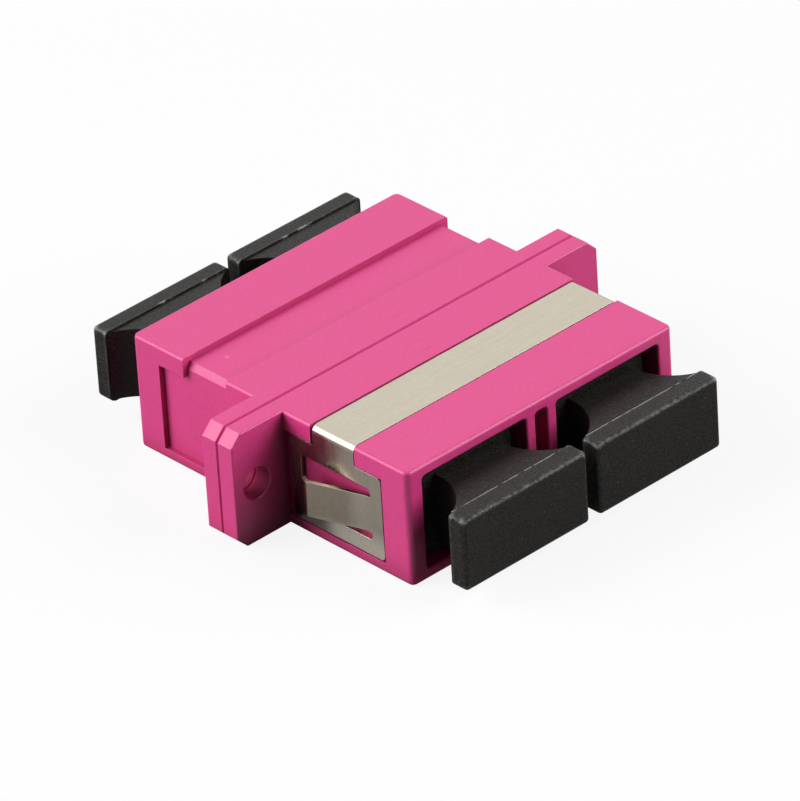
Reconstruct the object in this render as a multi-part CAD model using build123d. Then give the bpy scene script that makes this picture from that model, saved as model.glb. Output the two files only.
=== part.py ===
from build123d import *
import os

# Duplex fibre adapter with a panel flange, a sprung steel panel clip and four dust caps.
# X runs along the flange, Y along the plugs' axis with the clipped half at -Y, Z is up.
# The origin is the bottom centre of the whole part; the flange's mid-plane is Y = 0.

# Housing halves
half_len = 13.7
corner_r = 0.45
edge_r = 0.25
flange_t = 3.0
ear_len = 4.8
ear_chamfer = 0.9
ear_edge_r = 0.12
parting_chamfer = 0.11
screw_inset = 2.1
screw_hole_d = 2.4
screw_edge = 0.1

# Ports
port_w = 9.8
port_h = 7.4
port_floor = 0.8
port_roof = 0.9
port_side = 1.45
port_corner_r = 0.3
mouth_r = 0.2
divider_t = 0.9
divider_gap = 1.1
divider_slot_len = 9.2
key_w = 2.8
key_len = 7.6
rail_w = 0.9
rail_h = 0.35
rail_inset = 1.05
rail_setback = 1.6
rail_len = 8.6

# Weld pins between the halves
pin_d = 1.2
pin_len = 0.8
pin_clear = 0.05
pin_out = 1.2
pin_rise = 2.65

# Seat of the clip in each half
lug_len = 2.7
channel_len = 4.35
collar_len = 2.6
pocket_floor = 0.8
pocket_drop = 1.5
pocket_relief = 0.1
seat_chamfer_x = 0.3
seat_chamfer_z = 0.55

# Panel clip
sheet_t = 0.3
sheet_under = 0.05
seat_gap = 0.05
bend_r = 0.25
strip_clear = 0.15
plate_clear = 0.1
plate_end_clear = 0.15
plate_setback = 0.6
plate_corner_r = 0.35
neck_corner_r = 0.15
rear_member = 0.95
front_member = 1.1
tongue_h = 2.8
lance_w = 0.65
lance_corner_r = 0.3
tongue_rise = 19.0
tongue_bend_r = 2.0
tongue_run = 4.18
hook_turn = 47.0
hook_bend_r = 0.6
hook_run = 0.65
tongue_tip_r = 0.3

# Sleeve holders
base_t = 1.5
base_lip = 0.5
base_clear = 0.1
tube_wall = 0.55
tube_len = 7.0
tube_lip = 0.8
ferrule_clear = 0.1
ferrule_lead = 0.25
arm_t = 0.7
arm_flex = 0.4
arm_h = 3.2
arm_len = 9.2
tube_root_r = 0.3
hook_in = 0.45
hook_len = 1.2
hook_land = 0.35

# Split sleeves
sleeve_bore = 2.5
sleeve_wall = 0.35
sleeve_slit = 0.45
sleeve_edge = 0.1
sleeve_clear = 0.1
sleeve_end_gap = 0.5

# Dust caps
head_over = 0.975
head_h = 5.7
head_t = 1.45
head_edge_r = 0.35
head_shift = 0.2
neck_len = 3.4
neck_inset = 0.15
neck_drop = 0.1
waist_w = 5.7
waist_depth = 0.7
stopper_clear = 0.2
stopper_setback = 1.1
stopper_gap = 0.2
stopper_lead = 0.3
rail_clear = 0.15
nose_clear = 0.2
nose_gap = 1.7
nose_corner_r = 0.9
tube_clear = 0.3
cap_rest_gap = 0.1

# Worked out from the sizes above
port_pitch = port_w + 2 * divider_t + divider_gap
body_w = port_pitch + port_w + 2 * port_side
body_h = port_floor + port_h + port_roof
port_z = port_floor + port_h / 2
port_places = {"left": -port_pitch / 2, "right": port_pitch / 2}
mouth_y = -half_len
half_flange = flange_t / 2
flange_w = body_w + 2 * ear_len
screw_x = flange_w / 2 - screw_inset
seat_depth = sheet_t + sheet_under + seat_gap
pocket_x = body_w / 2 - seat_depth
pocket_end = half_len - collar_len
pocket_top = body_h - pocket_drop
channel_z = body_h - seat_depth
channel_y = (-half_flange - lug_len - channel_len, -half_flange - lug_len)
plate_y = (-pocket_end + plate_end_clear, -half_flange - plate_setback)
plate_z = (pocket_floor + plate_clear, pocket_top - plate_clear)
plate_mid_z = sum(plate_z) / 2
window_y = (plate_y[0] + front_member, plate_y[1] - rear_member)
base_w = port_w + 2 * base_lip - 2 * base_clear
base_h = port_h - 2 * base_clear
sleeve_d = sleeve_bore + 2 * sleeve_wall
sleeve_len = 2 * (tube_len - tube_lip - sleeve_end_gap)
holder_bore_d = sleeve_d + 2 * sleeve_clear
ferrule_hole_d = sleeve_bore + 2 * ferrule_clear
tube_d = holder_bore_d + 2 * tube_wall
arm_gap = port_w - 2 * (arm_t + arm_flex)
head_w = port_w + 2 * head_over
head_back = mouth_y - neck_len
neck_top_w = head_w - 2 * neck_inset


def span_box(x, y, z):
    """Box between two places along each axis."""
    size = [high - low for low, high in (x, y, z)]
    centre = [(low + high) / 2 for low, high in (x, y, z)]
    return Pos(*centre) * Box(*size)


def along_y(outline, y_from, y_to):
    """Solid of an XZ outline between two places along Y."""
    return extrude(Plane.XZ.offset(-y_to) * outline, y_to - y_from)


def along_x(outline, x_from, x_to):
    """Solid of a YZ outline between two places along X."""
    return extrude(Plane.YZ.offset(x_from) * outline, x_to - x_from)


def edges_in_plane(part, y):
    """Edges that lie wholly in the plane at one place along Y."""
    return part.edges().filter_by(
        lambda edge: all(abs((edge @ place).Y - y) < 1e-4 for place in (0, 0.5, 1))
    )


def rounded_body():
    """Body of one half, its mouth corners and long edges rounded, ending inside the flange."""
    end_y = -half_flange / 2
    body = span_box((-body_w / 2, body_w / 2), (mouth_y, end_y), (0, body_h))
    body = fillet(body.edges().filter_by(Axis.Z).group_by(Axis.Y)[0], corner_r)
    rim = body.faces().filter_by(Axis.Z).edges()
    return fillet(rim.filter_by(lambda edge: edge.center().Y < end_y - 1e-3), edge_r)


def flange_half():
    """Flange plate of one half, with its parting chamfer at the mid-plane and its screw holes."""
    outline = chamfer(Rectangle(flange_w, body_h).vertices(), ear_chamfer)
    plate = along_y(Pos(0, body_h / 2) * outline, -half_flange, 0)
    for side in (-1, 1):
        plate -= along_y(Pos(side * screw_x, body_h / 2) * Circle(screw_hole_d / 2), -half_flange, 0)
    front = edges_in_plane(plate, -half_flange)
    plate = fillet(front.filter_by(GeomType.CIRCLE, reverse=True), ear_edge_r)
    plate = chamfer(edges_in_plane(plate, -half_flange).filter_by(GeomType.CIRCLE), screw_edge)
    return chamfer(edges_in_plane(plate, 0), parting_chamfer)


def clip_seat():
    """What the clip's seat takes off one half: a top channel with bevelled ends and two side pockets."""
    seat = Polyline(
        (-pocket_x, 0),
        (-pocket_x, channel_z - seat_chamfer_z),
        (-pocket_x + seat_chamfer_x, channel_z),
        (pocket_x - seat_chamfer_x, channel_z),
        (pocket_x, channel_z - seat_chamfer_z),
        (pocket_x, 0),
        close=True,
    )
    upper = Pos(0, (pocket_top + 2 * body_h) / 2) * Rectangle(2 * body_w, 2 * body_h - pocket_top)
    channel = along_y(upper - make_face(seat), *channel_y)
    pocket_y = (-pocket_end, -half_flange)
    relief_y = (-pocket_end, -half_flange + pocket_relief)
    pockets = []
    for side in (-1, 1):
        outside = sorted((side * pocket_x, side * body_w))
        beside = sorted((side * pocket_x, side * body_w / 2))
        pockets.append(span_box(outside, pocket_y, (pocket_floor, pocket_top)))
        pockets.append(span_box(beside, relief_y, (pocket_floor, pocket_top)))
    return [channel, *pockets]


def port_void(x):
    """Plug space of one port, with a pair of guide rails left standing on each side wall."""
    outline = Pos(x, port_z) * RectangleRounded(port_w, port_h, port_corner_r)
    space = along_y(outline, mouth_y - 1, -base_t)
    rail_y = (mouth_y + rail_setback, mouth_y + rail_setback + rail_len)
    for side in (-1, 1):
        wall = x + side * port_w / 2
        rail_x = sorted((wall - side * rail_h, wall + side * rail_h))
        for up in (-1, 1):
            z = port_z + up * (port_h / 2 - rail_inset)
            space -= span_box(rail_x, rail_y, (z - rail_w / 2, z + rail_w / 2))
    return space


def housing_half():
    """One moulded half, drawn as the front half: its twin is the same piece turned about Z."""
    half = rounded_body() + flange_half()
    for x in port_places.values():
        half -= port_void(x)
    slot_outline = Pos(0, port_z) * RectangleRounded(divider_gap, port_h, port_corner_r)
    half -= along_y(slot_outline, mouth_y - 1, mouth_y + divider_slot_len)
    mouth = half.faces().sort_by(Axis.Y)[0]
    half = fillet([edge for wire in mouth.inner_wires() for edge in wire.edges()], mouth_r)
    for x in port_places.values():
        half -= span_box((x - key_w / 2, x + key_w / 2), (mouth_y - 1, mouth_y + key_len), (-1, port_z))
        seat_w = base_w + 2 * base_clear
        half -= along_y(Pos(x, port_z) * RectangleRounded(seat_w, port_h, port_corner_r), -base_t, 1)
    for cut in clip_seat():
        half -= cut
    for side in (-1, 1):
        pin_x = side * (body_w / 2 + pin_out)
        peg = Pos(pin_x, body_h / 2 - side * pin_rise)
        socket = Pos(pin_x, body_h / 2 + side * pin_rise)
        half += along_y(peg * Circle(pin_d / 2), -half_flange / 2, pin_len)
        half -= along_y(socket * Circle(pin_d / 2 + pin_clear), -pin_len - pin_clear, 0)
    return half


def tongue_path():
    """Plan of one lanced tongue's middle line: it leaves the plate, rises clear and hooks back."""
    x = body_w / 2 - sheet_under - sheet_t / 2
    root = Line((x, window_y[0] - front_member / 2), (x, window_y[0]))
    rise = JernArc(root @ 1, root % 1, tongue_bend_r, -tongue_rise)
    run = Line(rise @ 1, rise @ 1 + (rise % 1) * tongue_run)
    turn = JernArc(run @ 1, run % 1, hook_bend_r, hook_turn)
    tip = Line(turn @ 1, turn @ 1 + (turn % 1) * hook_run)
    return root + rise + run + turn + tip


def plate_outline():
    """Side view of the clip in Y and Z: a neck over a wider plate with a lanced window."""
    plate = Pos(sum(plate_y) / 2, plate_mid_z) * Rectangle(plate_y[1] - plate_y[0], plate_z[1] - plate_z[0])
    plate = fillet(plate.vertices(), plate_corner_r)
    strip_y = (channel_y[0] + strip_clear, channel_y[1] - strip_clear)
    neck = Pos(sum(strip_y) / 2, body_h) * Rectangle(strip_y[1] - strip_y[0], 2 * (body_h - plate_mid_z))
    blank = plate + neck
    shoulders = [v for v in blank.vertices() if abs(v.Y - plate_z[1]) < 1e-4]
    blank = fillet([v for v in shoulders if min(abs(v.X - y) for y in strip_y) < 1e-4], neck_corner_r)
    window_size = (window_y[1] - window_y[0], tongue_h + 2 * lance_w)
    window = Pos(sum(window_y) / 2, plate_mid_z) * RectangleRounded(*window_size, lance_corner_r)
    web = Pos(window_y[0], plate_mid_z) * Rectangle(lance_w, tongue_h)
    return blank - (window - web)


def panel_clip():
    """Panel clip bent from one sheet, its side tongues lanced out of their windows."""
    outer_x = body_w / 2 - sheet_under
    outer_z = body_h - sheet_under
    outer = Pos(0, (outer_z + plate_z[0]) / 2) * Rectangle(2 * outer_x, outer_z - plate_z[0])
    outer = fillet(outer.vertices().group_by(Axis.Y)[-1], bend_r + sheet_t)
    inner = Pos(0, outer_z / 2 - sheet_t) * Rectangle(2 * (outer_x - sheet_t), outer_z)
    inner = fillet(inner.vertices().group_by(Axis.Y)[-1], bend_r)
    bent = along_y(outer - inner, -pocket_end, 0)
    clip = bent & along_x(plate_outline(), -body_w, body_w)
    strip = trace(tongue_path(), sheet_t)
    tongue = Pos(0, 0, plate_mid_z - tongue_h / 2) * extrude(strip, tongue_h)
    tip = tongue.faces().sort_by(Axis.Y)[-1]
    tongue = fillet(tip.edges().filter_by(Axis.Z, reverse=True), tongue_tip_r)
    return clip + tongue + mirror(tongue, about=Plane.YZ)


def holder_arm():
    """Latch arm at +X of a sleeve holder, with a ramped hook that faces the tube."""
    inner = arm_gap / 2
    nose = inner - hook_in
    plan = Polyline(
        (inner, -base_t / 2),
        (inner + arm_t, -base_t / 2),
        (inner + arm_t, -arm_len),
        (inner + arm_t / 3, -arm_len),
        (nose, -arm_len + hook_len - hook_land),
        (nose, -arm_len + hook_len),
        (inner, -arm_len + hook_len),
        close=True,
    )
    return Pos(0, 0, -arm_h / 2) * extrude(make_face(plan), arm_h)


def sleeve_holder():
    """Moulded holder about a port's own axis: base, tube for the split sleeve and two latch arms."""
    holder = along_y(RectangleRounded(base_w, base_h, port_corner_r + base_clear), -base_t, 0)
    holder += along_y(Circle(tube_d / 2), -tube_len, 0)
    circles = edges_in_plane(holder, -base_t).filter_by(GeomType.CIRCLE)
    holder = fillet([edge for edge in circles if abs(edge.radius - tube_d / 2) < 1e-4], tube_root_r)
    arm = holder_arm()
    holder += arm + mirror(arm, about=Plane.YZ)
    holder -= along_y(Circle(holder_bore_d / 2), -tube_len + tube_lip, 1)
    holder -= along_y(Circle(ferrule_hole_d / 2), -tube_len - 1, 0)
    mouth = edges_in_plane(holder, -tube_len).filter_by(GeomType.CIRCLE)
    return chamfer(mouth, ferrule_lead)


def split_sleeve():
    """Ceramic alignment sleeve about a port's own axis, slit along its length on top."""
    ring = Circle(sleeve_d / 2) - Circle(sleeve_bore / 2)
    sleeve = along_y(ring, -sleeve_len / 2, sleeve_len / 2)
    ends = sleeve.edges().filter_by(GeomType.CIRCLE)
    sleeve = chamfer(ends, sleeve_edge)
    slit_x = (-sleeve_slit / 2, sleeve_slit / 2)
    return sleeve - span_box(slit_x, (-sleeve_len, sleeve_len), (0, sleeve_d))


def neck_plan():
    """Plan of a cap's neck: it narrows from the head to a waist just inside the port."""
    waist_y = mouth_y + waist_depth
    end_y = mouth_y + stopper_setback
    flare = (neck_top_w - waist_w) / 2
    run = waist_y - head_back
    start = (neck_top_w / 2, head_back)
    waist = (waist_w / 2, waist_y)
    side = RadiusArc(start, waist, (run**2 + flare**2) / (2 * flare))
    straight = Line(waist, (waist_w / 2, end_y))
    back = Line((waist_w / 2, end_y), (0, end_y))
    axis = Line((0, end_y), (0, head_back))
    front = Line((0, head_back), start)
    half = make_face([side, straight, back, axis, front])
    return half + mirror(half, about=Plane.YZ)


def dust_cap():
    """Moulded cap for a front port about that port's own axis: head, waisted neck, stopper and nose."""
    head = span_box((-head_w / 2, head_w / 2), (head_back - head_t, head_back), (-head_h / 2, head_h / 2))
    back_edges = edges_in_plane(head, head_back)
    head = fillet([edge for edge in head.edges() if edge not in back_edges], head_edge_r)
    neck_h = head_h - 2 * neck_drop
    head += Pos(0, 0, -neck_h / 2) * extrude(neck_plan(), neck_h)
    stopper_w = port_w - 2 * rail_h - 2 * rail_clear
    stopper_y = (mouth_y + stopper_setback, -arm_len - stopper_gap)
    stopper_r = port_corner_r + stopper_clear
    stopper = along_y(RectangleRounded(stopper_w, port_h - 2 * stopper_clear, stopper_r), *stopper_y)
    stopper = chamfer(edges_in_plane(stopper, stopper_y[1]), stopper_lead)
    nose_w = arm_gap - 2 * hook_in - 2 * nose_clear
    nose_end = -base_t - nose_gap
    nose = along_y(RectangleRounded(nose_w, nose_w, nose_corner_r), stopper_y[0], nose_end)
    nose = chamfer(edges_in_plane(nose, nose_end), stopper_lead)
    cap = Pos(0, 0, -head_shift) * head + stopper + nose
    return cap - along_y(Circle(tube_d / 2 + tube_clear), -tube_len - cap_rest_gap, 0)


def turned(piece):
    """The same piece turned half round about Z, from the front half to the rear half."""
    return Rot(0, 0, 180) * piece


def turned_over(piece):
    """The same piece turned half round about X: the rear caps are pushed in the other way up."""
    return Rot(180, 0, 0) * piece


def build_parts():
    """Every piece of the assembly, in its place, under its own name."""
    half = housing_half()
    parts = {"front_housing": half, "rear_housing": turned(half), "panel_clip": panel_clip()}
    holder = sleeve_holder()
    sleeve = split_sleeve()
    cap = dust_cap()
    for side, x in port_places.items():
        place = Pos(x, 0, port_z)
        parts[f"front_{side}_sleeve_holder"] = place * holder
        parts[f"rear_{side}_sleeve_holder"] = place * turned(holder)
        parts[f"{side}_split_sleeve"] = place * sleeve
        parts[f"front_{side}_dust_cap"] = place * cap
        parts[f"rear_{side}_dust_cap"] = place * turned_over(cap)
    return parts


os.makedirs("parts", exist_ok=True)
for name, part in build_parts().items():
    export_step(part, f"parts/{name}.step")
    print(name, "solids", len(part.solids()), "volume", round(part.volume, 2))
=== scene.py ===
from math import radians

import bpy
from mathutils import Matrix, Vector


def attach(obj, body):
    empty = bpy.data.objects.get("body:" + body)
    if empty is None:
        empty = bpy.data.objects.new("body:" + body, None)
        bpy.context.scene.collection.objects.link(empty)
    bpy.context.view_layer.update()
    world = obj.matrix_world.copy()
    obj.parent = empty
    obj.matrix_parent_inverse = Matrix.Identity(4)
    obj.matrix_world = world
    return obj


MM = 0.001
MICRON = 0.001 * MM

# The camera stands where the photograph was taken from
LOOK_AT = Vector((0, 0, 4.65)) * MM
CAMERA_AZIMUTH = radians(-41.906)
CAMERA_ELEVATION = radians(31.970)
CAMERA_ROLL = radians(-3.655)
CAMERA_DISTANCE = 629.1 * MM
CAMERA_SLIDE = Vector((-0.329, -1.137, 0)) * MM
CAMERA_LENS = 409.2
SENSOR_WIDTH = 36

# The side of the surround that reflections see white, and the surround's two tones
WHITE_SIDE = (0.61, 0.68, 0.41)
DIM_SURROUND = (0.04, 0.04, 0.04)
WHITE_SURROUND = (1.0, 1.0, 1.0)

# The floor, a little below the part: its tone for bounced light and for the eye, and its own glow
FLOOR_SIZE = 3.0
FLOOR_GAP = 0.05 * MM
FLOOR_BOUNCED = (0.12, 0.12, 0.12)
FLOOR_SEEN = (0.85, 0.85, 0.85)
FLOOR_GLOW = 0.88
FLOOR_MIRRORED = 0.2

# The soft boxes: name, place in metres and watts
SOFT_BOXES = [
    ("left_box", (-0.43, 0.32, 0.30), 5.35),
    ("front_box", (0.38, -0.42, 0.30), 4.5),
]
BOX_SIZE = 0.5

# The share of a soft box that reflections show, a lamp of its own that stands a little nearer
GLEAM_SHARE = 0.4
GLEAM_NEARER = 0.97

# Flash along the back edges of a dust cap's head
HEAD_THICKNESS = 1.45 * MM
HEAD_BACK = 17.1 * MM
HEAD_CORNER = 0.35 * MM
FLASH_PROUD = 0.03 * MM
FRONT_FLASH_WIDTH = 0.06 * MM
REAR_FLASH_WIDTH = 0.11 * MM
FLASH_DEPTH = 0.12 * MM
FLASH_RAGGED = 0.018 * MM
FLASH_CUTS = 90
LONG_EDGE = 1 * MM
MESH_TOLERANCE = 0.01 * MM

# Rays for a shade and for a rounded edge
SHADE_SAMPLES = 8
ROUNDING_SAMPLES = 6

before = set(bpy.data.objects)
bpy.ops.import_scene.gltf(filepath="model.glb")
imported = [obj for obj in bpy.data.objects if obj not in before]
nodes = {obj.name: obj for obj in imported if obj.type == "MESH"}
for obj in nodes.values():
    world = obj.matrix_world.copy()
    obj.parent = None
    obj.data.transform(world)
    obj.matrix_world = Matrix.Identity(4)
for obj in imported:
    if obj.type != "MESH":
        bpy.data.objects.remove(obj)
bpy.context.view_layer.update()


def node_group(name, inputs, outputs):
    """An empty shader group with its named sockets, and its two end nodes."""
    group = bpy.data.node_groups.new(name, "ShaderNodeTree")
    for socket, kind, value in inputs:
        made = group.interface.new_socket(socket, in_out="INPUT", socket_type=kind)
        made.default_value = value
    for socket, kind in outputs:
        group.interface.new_socket(socket, in_out="OUTPUT", socket_type=kind)
    return group, group.nodes.new("NodeGroupInput"), group.nodes.new("NodeGroupOutput")


def feed(tree, socket, value):
    """A socket given the value of another socket, or a plain one."""
    if isinstance(value, bpy.types.NodeSocket):
        tree.links.new(value, socket)
    else:
        socket.default_value = value


def noise(tree, place, scale, detail):
    """Soft noise at a place: the scale may be a socket."""
    node = tree.nodes.new("ShaderNodeTexNoise")
    node.inputs["Detail"].default_value = detail
    tree.links.new(place, node.inputs["Vector"])
    feed(tree, node.inputs["Scale"], scale)
    return node.outputs["Fac"]


def maths(tree, operation, first, second=0.0):
    """One sum on two values, either of which may be a socket."""
    node = tree.nodes.new("ShaderNodeMath")
    node.operation = operation
    feed(tree, node.inputs[0], first)
    feed(tree, node.inputs[1], second)
    return node.outputs[0]


def vector_maths(tree, operation, first, second=(0, 0, 0)):
    """The outputs of one sum on two vectors, either of which may be a socket."""
    node = tree.nodes.new("ShaderNodeVectorMath")
    node.operation = operation
    feed(tree, node.inputs[0], first)
    feed(tree, node.inputs[1], second)
    return node.outputs


def split_axes(tree, vector):
    """The X, Y and Z of a vector."""
    node = tree.nodes.new("ShaderNodeSeparateXYZ")
    tree.links.new(vector, node.inputs[0])
    return node.outputs


def ramp(tree, value, low, high, to_low=0.0, to_high=1.0):
    """The value carried smoothly from one range to another."""
    node = tree.nodes.new("ShaderNodeMapRange")
    node.interpolation_type = "SMOOTHSTEP"
    tree.links.new(value, node.inputs["Value"])
    node.inputs["From Min"].default_value = low
    node.inputs["From Max"].default_value = high
    node.inputs["To Min"].default_value = to_low
    node.inputs["To Max"].default_value = to_high
    return node.outputs["Result"]


def blended(tree, amount, under, over):
    """One colour laid over another by an amount. Colours may be sockets."""
    node = tree.nodes.new("ShaderNodeMix")
    node.data_type = "RGBA"
    tree.links.new(amount, node.inputs["Factor"])
    for name, colour in (("A", under), ("B", over)):
        socket = next(s for s in node.inputs if s.name == name and s.type == "RGBA")
        feed(tree, socket, colour if isinstance(colour, bpy.types.NodeSocket) else (*colour, 1))
    return next(s for s in node.outputs if s.type == "RGBA")


def tinted(tree, under, mask, strength, over):
    """A colour with another laid over it where a mask says, at part of its full strength."""
    return blended(tree, maths(tree, "MULTIPLY", mask, strength), under, over)


def object_place(tree):
    """Place on the part in metres."""
    return tree.nodes.new("ShaderNodeTexCoord").outputs["Object"]


def make_worn_and_highlit_edges():
    """Outer edges in broken runs, as a mask for pale wear and painted edge highlight, and the softened
    normal that rounds them.
    """
    group, given, out = node_group(
        "worn and highlit edges",
        [
            ("Width", "NodeSocketFloat", 0.1 * MM),
            ("Rounding", "NodeSocketFloat", 0.1 * MM),
            ("Breaks", "NodeSocketFloat", 900.0),
        ],
        [("Mask", "NodeSocketFloat"), ("Normal", "NodeSocketVector")],
    )
    inside = group.nodes.new("ShaderNodeAmbientOcclusion")
    inside.samples = SHADE_SAMPLES
    inside.inside = True
    inside.only_local = True
    group.links.new(given.outputs["Width"], inside.inputs["Distance"])
    edge = ramp(group, maths(group, "SUBTRACT", 1.0, inside.outputs["AO"]), 0.12, 0.42)
    patches = noise(group, object_place(group), given.outputs["Breaks"], 4.0)
    group.links.new(maths(group, "MULTIPLY", edge, ramp(group, patches, 0.3, 0.62)), out.inputs["Mask"])
    rounding = group.nodes.new("ShaderNodeBevel")
    rounding.samples = ROUNDING_SAMPLES
    group.links.new(given.outputs["Rounding"], rounding.inputs["Radius"])
    group.links.new(rounding.outputs["Normal"], out.inputs["Normal"])
    return group


def make_mould_grain():
    """The fine sparked texture of a moulding: a mottle for the colour and a height for the bump."""
    group, given, out = node_group(
        "mould grain",
        [("Scale", "NodeSocketFloat", 5000.0)],
        [("Mottle", "NodeSocketFloat"), ("Height", "NodeSocketFloat")],
    )
    place = object_place(group)
    fine = noise(group, place, given.outputs["Scale"], 1.5)
    broad = noise(group, place, maths(group, "MULTIPLY", given.outputs["Scale"], 0.08), 2.0)
    both = maths(group, "ADD", maths(group, "MULTIPLY", fine, 0.88), maths(group, "MULTIPLY", broad, 0.12))
    group.links.new(ramp(group, both, 0.3, 0.7), out.inputs["Mottle"])
    group.links.new(fine, out.inputs["Height"])
    return group


def make_corner_shade():
    """Inside corners and hollows, where little light gets in: 1 in the open, 0 deep inside."""
    group, given, out = node_group(
        "corner shade",
        [("Reach", "NodeSocketFloat", 3 * MM)],
        [("Open", "NodeSocketFloat")],
    )
    around = group.nodes.new("ShaderNodeAmbientOcclusion")
    around.samples = SHADE_SAMPLES
    group.links.new(given.outputs["Reach"], around.inputs["Distance"])
    group.links.new(ramp(group, around.outputs["AO"], 0.3, 0.85), out.inputs["Open"])
    return group


def make_dust_specks():
    """Sparse pale specks of dust."""
    group, given, out = node_group(
        "dust specks",
        [("Scale", "NodeSocketFloat", 1500.0), ("Share", "NodeSocketFloat", 0.02)],
        [("Mask", "NodeSocketFloat")],
    )
    cells = group.nodes.new("ShaderNodeTexVoronoi")
    group.links.new(object_place(group), cells.inputs["Vector"])
    group.links.new(given.outputs["Scale"], cells.inputs["Scale"])
    near = ramp(group, cells.outputs["Distance"], 0.12, 0.3, 1.0, 0.0)
    draw = group.nodes.new("ShaderNodeSeparateColor")
    group.links.new(cells.outputs["Color"], draw.inputs[0])
    chosen = maths(group, "LESS_THAN", draw.outputs[0], given.outputs["Share"])
    group.links.new(maths(group, "MULTIPLY", near, chosen), out.inputs["Mask"])
    return group


def make_witness_frame():
    """The faint outline that a tool insert leaves, as a box's edge lines about a centre."""
    group, given, out = node_group(
        "witness frame",
        [
            ("Centre", "NodeSocketVector", (0, 0, 0)),
            ("Half size", "NodeSocketVector", (1 * MM, 1 * MM, 1 * MM)),
            ("Line", "NodeSocketFloat", 0.06 * MM),
        ],
        [("Mask", "NodeSocketFloat")],
    )
    away = vector_maths(group, "SUBTRACT", object_place(group), given.outputs["Centre"])["Vector"]
    span = vector_maths(group, "ABSOLUTE", away)["Vector"]
    past = split_axes(group, vector_maths(group, "SUBTRACT", span, given.outputs["Half size"])["Vector"])
    most = maths(group, "MAXIMUM", maths(group, "MAXIMUM", past["X"], past["Y"]), past["Z"])
    off_line = maths(group, "DIVIDE", maths(group, "ABSOLUTE", most), given.outputs["Line"])
    group.links.new(ramp(group, off_line, 0.3, 1.0, 1.0, 0.0), out.inputs["Mask"])
    return group


worn_and_highlit_edges = make_worn_and_highlit_edges()
mould_grain = make_mould_grain()
corner_shade = make_corner_shade()
dust_specks = make_dust_specks()
witness_frame = make_witness_frame()


def use_group(tree, group, **values):
    """A group placed in a material with its own values."""
    node = tree.nodes.new("ShaderNodeGroup")
    node.node_tree = group
    for name, value in values.items():
        node.inputs[name.replace("_", " ").capitalize()].default_value = value
    return node


def new_finish(name, **plain):
    """A material with its shader, plain numbers set on the shader's own sockets."""
    material = bpy.data.materials.new(name)
    material.use_nodes = True
    tree = material.node_tree
    shader = tree.nodes["Principled BSDF"]
    for socket, value in plain.items():
        shader.inputs[socket.replace("_", " ")].default_value = value
    return material, tree, shader


def bumped(tree, shader, height, depth, normal):
    """Relief on a softened normal, with its depth in metres at full height."""
    bump = tree.nodes.new("ShaderNodeBump")
    bump.inputs["Strength"].default_value = 1.0
    bump.inputs["Distance"].default_value = depth
    tree.links.new(height, bump.inputs["Height"])
    tree.links.new(normal, bump.inputs["Normal"])
    tree.links.new(bump.outputs["Normal"], shader.inputs["Normal"])


# Colours of the magenta halves
MAGENTA_DARK = (0.66, 0.042, 0.215)
MAGENTA_LIGHT = (0.71, 0.051, 0.24)
# Painted shade for hollows and inside corners, and a darker painted shade for the ear fronts beside the
# body
MAGENTA_PAINTED_SHADE = (0.36, 0.012, 0.09)
EAR_FRONT_PAINTED_SHADE = (0.12, 0.004, 0.03)
MAGENTA_MARK = (0.42, 0.02, 0.13)
# Pale edges, partly wear and partly a painted edge highlight
MAGENTA_RUBBED_AND_HIGHLIGHT = (0.95, 0.42, 0.6)
MAGENTA_DUST = (0.95, 0.6, 0.72)
MAGENTA_GROOVE = (0.36, 0.02, 0.11)

# The fronts of the ears stand beside the body, and end at the flange's front along Y; the painted shade in
# the hollows is darkest there
BODY_SIDE = 12.7 * MM
BODY_SIDE_FADE = 0.1 * MM
FLANGE_FRONT = -1.5 * MM
EAR_FRONT_FADE = (FLANGE_FRONT + 0.1 * MM, FLANGE_FRONT + 0.3 * MM)

# Half the width of the line where the two halves meet, and where it has faded out
PARTING_HALF = 0.13 * MM
PARTING_FADED = 1.3 * PARTING_HALF

# Tool marks on the halves: centre, half size, in millimetres
WITNESS_FRAMES = [
    ((-12.3, 7.37, 4.11), (0.3, 1.21, 1.53)),
    ((-12.3, 7.46, 3.49), (0.3, 0.68, 1.0)),
    ((12.3, 7.37, 4.11), (0.3, 1.21, 1.53)),
    ((12.3, 7.46, 3.49), (0.3, 0.68, 1.0)),
    ((0.95, 2.1, 9.1), (0.6, 0.6, 0.2)),
    ((-0.75, -2.5, 9.1), (0.6, 0.65, 0.2)),
    ((-0.09, 8.6, 9.0), (0.2, 0.14, 0.2)),
]


def witness_marks(tree):
    """All the faint tool marks as one mask."""
    marks = None
    for centre, half_size in WITNESS_FRAMES:
        outline = use_group(
            tree,
            witness_frame,
            centre=[c * MM for c in centre],
            half_size=[h * MM for h in half_size],
        )
        mark = outline.outputs["Mask"]
        marks = mark if marks is None else maths(tree, "MAXIMUM", marks, mark)
    return marks


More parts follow.
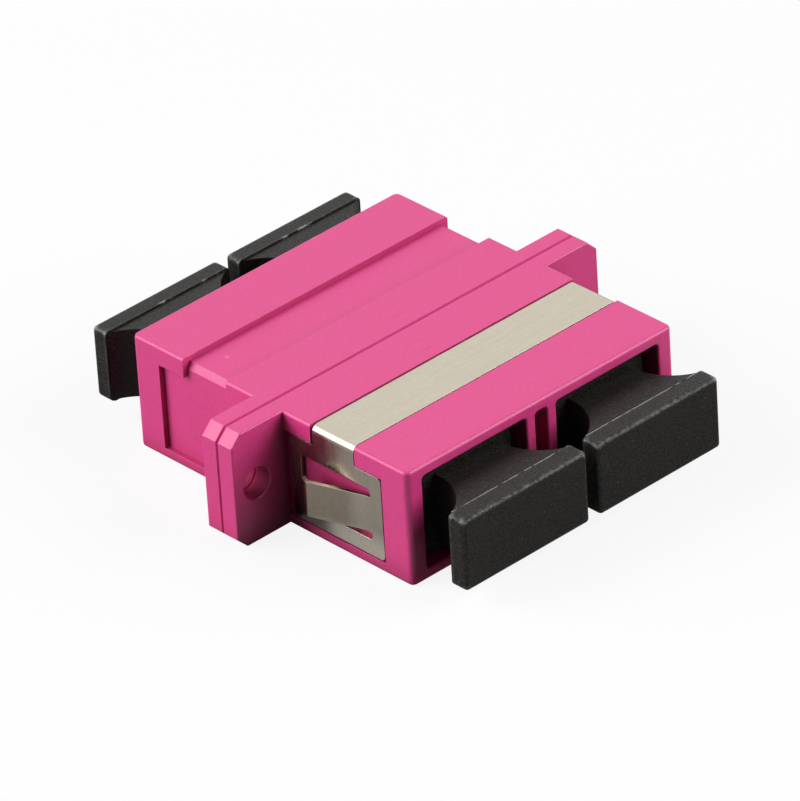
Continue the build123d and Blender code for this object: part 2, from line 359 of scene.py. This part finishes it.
def magenta_plastic():
    """Satin magenta moulding with fine grain, painted shade in its hollows, paler edges that are partly
    worn and partly a painted highlight, and faint tool marks.
    """
    material, tree, shader = new_finish("magenta_plastic", IOR=1.5, Specular_IOR_Level=0.82)
    grain = use_group(tree, mould_grain, scale=4200.0)
    edges = use_group(tree, worn_and_highlit_edges, width=0.1 * MM, rounding=0.07 * MM, breaks=700.0)
    hollows = use_group(tree, corner_shade, reach=4 * MM)
    specks = use_group(tree, dust_specks, scale=900.0, share=0.006)
    marks = witness_marks(tree)
    at = split_axes(tree, object_place(tree))
    off_middle = maths(tree, "ABSOLUTE", at["X"])
    beside_body = ramp(tree, off_middle, BODY_SIDE - BODY_SIDE_FADE, BODY_SIDE + BODY_SIDE_FADE)
    ear_fronts = maths(tree, "MULTIPLY", beside_body, ramp(tree, at["Y"], *EAR_FRONT_FADE, 1.0, 0.0))
    groove = ramp(tree, maths(tree, "ABSOLUTE", at["Y"]), PARTING_HALF, PARTING_FADED, 1.0, 0.0)
    # Painted shade: where little light gets in the colour turns dark, darkest on the ear fronts; the
    # parting groove is kept out of it
    lit = maths(tree, "MAXIMUM", hollows.outputs["Open"], maths(tree, "MULTIPLY", groove, 0.8))
    deep = blended(tree, ear_fronts, MAGENTA_PAINTED_SHADE, EAR_FRONT_PAINTED_SHADE)
    colour = blended(tree, grain.outputs["Mottle"], MAGENTA_DARK, MAGENTA_LIGHT)
    colour = blended(tree, lit, deep, colour)
    colour = tinted(tree, colour, marks, 0.3, MAGENTA_MARK)
    # Pale edges, partly wear and partly a painted highlight along them
    colour = tinted(tree, colour, edges.outputs["Mask"], 0.1, MAGENTA_RUBBED_AND_HIGHLIGHT)
    colour = tinted(tree, colour, specks.outputs["Mask"], 0.25, MAGENTA_DUST)
    colour = tinted(tree, colour, groove, 0.2, MAGENTA_GROOVE)
    tree.links.new(colour, shader.inputs["Base Color"])
    satin = ramp(tree, grain.outputs["Mottle"], 0.0, 1.0, 0.36, 0.42)
    dull = maths(tree, "MAXIMUM", groove, ramp(tree, hollows.outputs["Open"], 0.0, 1.0, 0.9, 0.0))
    roughness = maths(tree, "ADD", satin, maths(tree, "MULTIPLY", dull, 0.5))
    tree.links.new(roughness, shader.inputs["Roughness"])
    height = maths(tree, "SUBTRACT", grain.outputs["Height"], maths(tree, "MULTIPLY", marks, 2.0))
    bumped(tree, shader, height, 1.4 * MICRON, edges.outputs["Normal"])
    return material


# Colours of the panel clip
STEEL_SIDE = (0.62, 0.56, 0.46)
# Painted shade of the bent-out tongues
STEEL_TONGUE_SHADE = (0.42, 0.36, 0.28)
# Painted shade for the steel's hollows
STEEL_PAINTED_SHADE = (0.07, 0.05, 0.04)
# Painted reflection of the pale floor
STEEL_FLOOR_REFLECTION = (0.97, 0.91, 0.79)
STEEL_STRIP = (0.62, 0.56, 0.45)
STEEL_STREAK = (0.40, 0.36, 0.29)
STEEL_GRAIN = (0.85, 0.8, 0.7)
STEEL_CUT_EDGE = (0.92, 0.88, 0.78)

# The strip's colour begins between these heights
STRIP_BEGINS = (7.9 * MM, 8.8 * MM)

# The painted floor reflection on the lower part of a side plate ends between these heights, and between
# these places along Y
REFLECTION_TOP = (1.6 * MM, 3.4 * MM)
REFLECTION_BACK = (-6.6 * MM, -4.6 * MM)

# A tongue gets a painted shade: it is darker where it stands this far from the middle of the part
TONGUE_LIFT = (12.8 * MM, 13.3 * MM)

# Rolling lines in cells to the metre, drawn out along the sheet and fine across it
ROLLING_SCALE = (260, 5200, 260)


def spring_steel():
    """Bare rolled strip: grain along its length, darker folded sides with painted shade in the hollows and
    on the bent-out tongues, a painted floor reflection low on the side plates, bright sheared edges.
    """
    material, tree, shader = new_finish("spring_steel", Metallic=1.0)
    place = object_place(tree)
    rolled = tree.nodes.new("ShaderNodeMapping")
    rolled.inputs["Scale"].default_value = ROLLING_SCALE
    tree.links.new(place, rolled.inputs["Vector"])
    lines = noise(tree, rolled.outputs["Vector"], 1.0, 4.0)
    grain = use_group(tree, mould_grain, scale=3600.0)
    edges = use_group(tree, worn_and_highlit_edges, width=0.06 * MM, rounding=0.06 * MM, breaks=500.0)
    hollows = use_group(tree, corner_shade, reach=6 * MM)
    at = split_axes(tree, place)
    on_strip = ramp(tree, at["Z"], *STRIP_BEGINS)
    low = ramp(tree, at["Z"], *REFLECTION_TOP, 1.0, 0.0)
    bright = maths(tree, "MULTIPLY", low, ramp(tree, at["Y"], *REFLECTION_BACK, 1.0, 0.0))
    lifted = ramp(tree, maths(tree, "ABSOLUTE", at["X"]), *TONGUE_LIFT)
    # Painted shade on the bent-out tongues
    colour = blended(tree, lifted, STEEL_SIDE, STEEL_TONGUE_SHADE)
    # Painted shade: the steel turns dark where little light gets in, as beside the ears
    colour = blended(tree, hollows.outputs["Open"], STEEL_PAINTED_SHADE, colour)
    # Painted reflection of the pale floor on the lower, front part of the side plates
    colour = blended(tree, bright, colour, STEEL_FLOOR_REFLECTION)
    colour = blended(tree, on_strip, colour, STEEL_STRIP)
    colour = blended(tree, ramp(tree, lines, 0.35, 0.65, 0.0, 0.1), colour, STEEL_STREAK)
    colour = tinted(tree, colour, grain.outputs["Mottle"], 0.1, STEEL_GRAIN)
    colour = tinted(tree, colour, edges.outputs["Mask"], 0.25, STEEL_CUT_EDGE)
    tree.links.new(colour, shader.inputs["Base Color"])
    satin = ramp(tree, lines, 0.3, 0.7, 0.2, 0.28)
    cut = maths(tree, "MULTIPLY", edges.outputs["Mask"], 0.25)
    tree.links.new(maths(tree, "ADD", satin, cut), shader.inputs["Roughness"])
    waves = noise(tree, place, 330.0, 1.0)
    height = maths(tree, "ADD", lines, maths(tree, "MULTIPLY", waves, 40.0))
    bumped(tree, shader, height, 0.9 * MICRON, edges.outputs["Normal"])
    return material


# Colours of the sleeve holders and the split sleeves
NATURAL_DARK = (0.66, 0.61, 0.49)
NATURAL_LIGHT = (0.74, 0.70, 0.59)
NATURAL_RUBBED = (0.9, 0.88, 0.8)
CERAMIC_DARK = (0.84, 0.84, 0.80)
CERAMIC_LIGHT = (0.90, 0.90, 0.87)


def natural_plastic():
    """Unpigmented moulding of the sleeve holders."""
    material, tree, shader = new_finish("natural_plastic", Roughness=0.45)
    grain = use_group(tree, mould_grain, scale=3000.0)
    edges = use_group(tree, worn_and_highlit_edges, width=0.1 * MM, breaks=800.0)
    colour = blended(tree, grain.outputs["Mottle"], NATURAL_DARK, NATURAL_LIGHT)
    colour = tinted(tree, colour, edges.outputs["Mask"], 0.4, NATURAL_RUBBED)
    tree.links.new(colour, shader.inputs["Base Color"])
    bumped(tree, shader, grain.outputs["Height"], 3 * MICRON, edges.outputs["Normal"])
    return material


def white_ceramic():
    """Ground ceramic of the split sleeves."""
    material, tree, shader = new_finish("white_ceramic", Roughness=0.18)
    grain = use_group(tree, mould_grain, scale=6000.0)
    edges = use_group(tree, worn_and_highlit_edges, width=0.06 * MM, rounding=0.06 * MM, breaks=1500.0)
    colour = blended(tree, grain.outputs["Mottle"], CERAMIC_DARK, CERAMIC_LIGHT)
    tree.links.new(colour, shader.inputs["Base Color"])
    bumped(tree, shader, grain.outputs["Height"], 1 * MICRON, edges.outputs["Normal"])
    return material


# Colours of the dust caps
BLACK_DARK = (0.002, 0.0018, 0.0016)
BLACK_LIGHT = (0.023, 0.0205, 0.018)
BLACK_RUBBED_AND_HIGHLIGHT = (0.55, 0.58, 0.56)
BLACK_DUST = (0.3, 0.28, 0.26)
FLASH_DARK = (0.003, 0.003, 0.003)
FLASH_LIGHT = (0.012, 0.011, 0.010)
FLASH_RUBBED_AND_HIGHLIGHT = (0.26, 0.28, 0.27)

# Edges worn pale, with a painted highlight, begin over this length from the back of a cap's head
RUBBED_AND_HIGHLIGHT_FADE = 0.3 * MM


def black_plastic():
    """Black moulding of the dust caps: spark texture, grey worn edges on the head with a painted
    highlight, a little dust.
    """
    material, tree, shader = new_finish("black_plastic", IOR=1.5, Specular_IOR_Level=0.27)
    grain = use_group(tree, mould_grain, scale=7000.0)
    edges = use_group(tree, worn_and_highlit_edges, width=0.42 * MM, rounding=0.05 * MM, breaks=2600.0)
    hollows = use_group(tree, corner_shade, reach=3 * MM)
    specks = use_group(tree, dust_specks, scale=3600.0, share=0.03)
    off_middle = maths(tree, "ABSOLUTE", split_axes(tree, object_place(tree))["Y"])
    on_head = ramp(tree, off_middle, HEAD_BACK, HEAD_BACK + RUBBED_AND_HIGHLIGHT_FADE)
    facing = split_axes(tree, tree.nodes.new("ShaderNodeTexCoord").outputs["Normal"])
    upward = ramp(tree, maths(tree, "ABSOLUTE", facing["Z"]), 0.0, 0.5, 0.35, 1.0)
    # Pale edges on the head, partly wear and partly a painted highlight, fainter on upright faces
    worn_and_highlit = maths(tree, "MULTIPLY", edges.outputs["Mask"], maths(tree, "MULTIPLY", on_head, upward))
    colour = blended(tree, grain.outputs["Mottle"], BLACK_DARK, BLACK_LIGHT)
    colour = blended(tree, worn_and_highlit, colour, BLACK_RUBBED_AND_HIGHLIGHT)
    colour = tinted(tree, colour, specks.outputs["Mask"], 0.2, BLACK_DUST)
    tree.links.new(colour, shader.inputs["Base Color"])
    satin = ramp(tree, grain.outputs["Mottle"], 0.0, 1.0, 0.44, 0.32)
    dull = maths(tree, "ADD", satin, ramp(tree, hollows.outputs["Open"], 0.0, 1.0, 0.5, 0.0))
    polish = maths(tree, "MULTIPLY", worn_and_highlit, 0.15)
    tree.links.new(maths(tree, "SUBTRACT", dull, polish), shader.inputs["Roughness"])
    bumped(tree, shader, grain.outputs["Height"], 20 * MICRON, edges.outputs["Normal"])
    return material


def flash_finish(name, dark_below):
    """Thin flash of the black moulding, pale in dashes where the noise passes a value: partly worn, partly
    a painted highlight.
    """
    material, tree, shader = new_finish(name, Roughness=0.5)
    grain = use_group(tree, mould_grain, scale=5200.0)
    dashes = ramp(tree, noise(tree, object_place(tree), 1100.0, 3.0), dark_below, dark_below + 0.15)
    colour = blended(tree, grain.outputs["Mottle"], FLASH_DARK, FLASH_LIGHT)
    colour = blended(tree, dashes, colour, FLASH_RUBBED_AND_HIGHLIGHT)
    tree.links.new(colour, shader.inputs["Base Color"])
    return material


finishes = {
    "housing": magenta_plastic(),
    "clip": spring_steel(),
    "sleeve_holder": natural_plastic(),
    "split_sleeve": white_ceramic(),
    "dust_cap": black_plastic(),
}
# More pale dashes of painted highlight on the lit front caps than on the shaded rear caps
lit_front_flash = flash_finish("lit_front_flash", 0.38)
shaded_rear_flash = flash_finish("shaded_rear_flash", 0.56)
for name, obj in nodes.items():
    finish = next(f for ending, f in finishes.items() if name.endswith(ending))
    obj.data.materials.clear()
    obj.data.materials.append(finish)


def head_box(cap):
    """Lowest and highest corner of a cap's head, and which way its neck goes along Y."""
    places = [cap.matrix_world @ vertex.co for vertex in cap.data.vertices]
    face = max((place.y for place in places), key=abs)
    inward = -1 if face > 0 else 1
    head = [place for place in places if abs(face - place.y) < HEAD_THICKNESS + MESH_TOLERANCE]
    low = Vector([min(place[i] for place in head) for i in range(3)])
    high = Vector([max(place[i] for place in head) for i in range(3)])
    return low, high, inward


def add_block(size, place):
    """A block with its size and place in its mesh, left as the only thing selected."""
    bpy.ops.object.select_all(action="DESELECT")
    bpy.ops.mesh.primitive_cube_add(size=1.0, location=place, scale=size)
    bpy.ops.object.transform_apply(location=True, rotation=False, scale=True)
    return bpy.context.object


def select_edges(obj, wanted):
    """Only the edges whose two ends pass the test are left selected, in edge mode."""
    for face in obj.data.polygons:
        face.select = False
    for edge in obj.data.edges:
        edge.select = wanted(*(obj.data.vertices[v].co for v in edge.vertices))
    bpy.context.tool_settings.mesh_select_mode = (False, True, False)


def add_flash(low, high, back, edge, width, seed):
    """An uneven line of flash along the back edge of a head, at its top or its underside."""
    size = (high.x - low.x - 2 * HEAD_CORNER, width, FLASH_DEPTH + FLASH_PROUD)
    up = 1 if edge > (low.z + high.z) / 2 else -1
    line = add_block(size, ((low.x + high.x) / 2, back, edge + up * (FLASH_PROUD - FLASH_DEPTH) / 2))
    select_edges(line, lambda one, other: abs(one.x - other.x) > LONG_EDGE)
    bpy.ops.object.mode_set(mode="EDIT")
    bpy.ops.mesh.subdivide(number_cuts=FLASH_CUTS)
    bpy.ops.mesh.select_all(action="SELECT")
    bpy.ops.transform.vertex_random(offset=FLASH_RAGGED, seed=seed)
    bpy.ops.object.mode_set(mode="OBJECT")
    return line


def add_cap_flash(name, seed):
    """The two lines of flash on a cap's head as one piece, on the cap's own body."""
    low, high, inward = head_box(nodes[name])
    back = high.y if inward > 0 else low.y
    width = FRONT_FLASH_WIDTH if inward > 0 else REAR_FLASH_WIDTH
    lower = add_flash(low, high, back, low.z, width, seed + len(nodes))
    flash = add_flash(low, high, back, high.z, width, seed)
    for line in (lower, flash):
        line.data.materials.append(lit_front_flash if inward > 0 else shaded_rear_flash)
        line.select_set(True)
    bpy.context.view_layer.objects.active = flash
    bpy.ops.object.join()
    flash.name = name.replace("dust_cap", "cap_flash")
    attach(flash, name.replace("dust_cap", "cap"))


for seed, name in enumerate(n for n in nodes if n.endswith("dust_cap")):
    add_cap_flash(name, seed)


def seen_share(tree, mirrored):
    """1 for what the camera sees straight, a part of it in a reflection, 0 for light that bounces."""
    path = tree.nodes.new("ShaderNodeLightPath")
    glossy = maths(tree, "MULTIPLY", path.outputs["Is Glossy Ray"], mirrored)
    seen = maths(tree, "MAXIMUM", path.outputs["Is Camera Ray"], glossy)
    return maths(tree, "MAXIMUM", seen, path.outputs["Is Transmission Ray"])


def add_floor():
    """Pale floor, white to the camera with a soft shadow on it, that bounces little light back."""
    bpy.ops.mesh.primitive_plane_add(size=FLOOR_SIZE, location=(0, 0, -FLOOR_GAP))
    floor = bpy.context.object
    floor.name = "floor"
    material = bpy.data.materials.new("pale_floor")
    material.use_nodes = True
    tree = material.node_tree
    tree.nodes.clear()
    seen = seen_share(tree, FLOOR_MIRRORED)
    matt = tree.nodes.new("ShaderNodeBsdfDiffuse")
    tree.links.new(blended(tree, seen, FLOOR_BOUNCED, FLOOR_SEEN), matt.inputs["Color"])
    glow = tree.nodes.new("ShaderNodeEmission")
    mixed = tree.nodes.new("ShaderNodeMixShader")
    tree.links.new(maths(tree, "MULTIPLY", seen, FLOOR_GLOW), mixed.inputs["Fac"])
    tree.links.new(matt.outputs[0], mixed.inputs[1])
    tree.links.new(glow.outputs[0], mixed.inputs[2])
    end = tree.nodes.new("ShaderNodeOutputMaterial")
    tree.links.new(mixed.outputs[0], end.inputs["Surface"])
    floor.data.materials.append(material)


def add_world():
    """Dim surround for light that bounces. The camera sees it white, and reflections on one side."""
    world = bpy.data.worlds.new("surround")
    bpy.context.scene.world = world
    world.use_nodes = True
    tree = world.node_tree
    tree.nodes.clear()
    way = tree.nodes.new("ShaderNodeTexCoord").outputs["Generated"]
    towards = vector_maths(tree, "DOT_PRODUCT", way, WHITE_SIDE)["Value"]
    mirrored = maths(tree, "MULTIPLY", seen_share(tree, 1.0), ramp(tree, towards, -0.3, 0.35, 0.3, 1.0))
    camera = tree.nodes.new("ShaderNodeLightPath").outputs["Is Camera Ray"]
    white = maths(tree, "MAXIMUM", camera, mirrored)
    sky = tree.nodes.new("ShaderNodeBackground")
    tree.links.new(blended(tree, white, DIM_SURROUND, WHITE_SURROUND), sky.inputs["Color"])
    end = tree.nodes.new("ShaderNodeOutputWorld")
    tree.links.new(sky.outputs[0], end.inputs["Surface"])


def add_lamp(name, place, watts, mirrored):
    """A square lamp that faces the part, and whether reflections show it."""
    lamp = bpy.data.lights.new(name, "AREA")
    lamp.shape = "SQUARE"
    lamp.size = BOX_SIZE
    lamp.energy = watts
    obj = bpy.data.objects.new(name, lamp)
    obj.visible_glossy = mirrored
    bpy.context.scene.collection.objects.link(obj)
    towards = LOOK_AT - place
    obj.matrix_world = Matrix.Translation(place) @ towards.to_track_quat("-Z", "Y").to_matrix().to_4x4()


def add_soft_box(name, place, watts):
    """A soft box made of two lamps, so that reflections show only a part of its light."""
    add_lamp(name, place, (1 - GLEAM_SHARE) * watts, False)
    add_lamp(name + "_gleam", GLEAM_NEARER * place, GLEAM_SHARE * watts, True)


def add_camera():
    """The photograph's camera."""
    camera = bpy.data.cameras.new("camera")
    camera.sensor_fit = "HORIZONTAL"
    camera.sensor_width = SENSOR_WIDTH
    camera.lens = CAMERA_LENS
    obj = bpy.data.objects.new("camera", camera)
    bpy.context.scene.collection.objects.link(obj)
    turn = (
        Matrix.Rotation(CAMERA_AZIMUTH, 4, "Z")
        @ Matrix.Rotation(radians(90) - CAMERA_ELEVATION, 4, "X")
        @ Matrix.Rotation(CAMERA_ROLL, 4, "Z")
    )
    step = CAMERA_SLIDE + Vector((0, 0, CAMERA_DISTANCE))
    obj.matrix_world = Matrix.Translation(LOOK_AT + turn.to_3x3() @ step) @ turn
    bpy.context.scene.camera = obj


add_floor()
add_world()
for name, place, watts in SOFT_BOXES:
    add_soft_box(name, Vector(place), watts)
add_camera()
bpy.context.scene.view_settings.view_transform = "Standard"
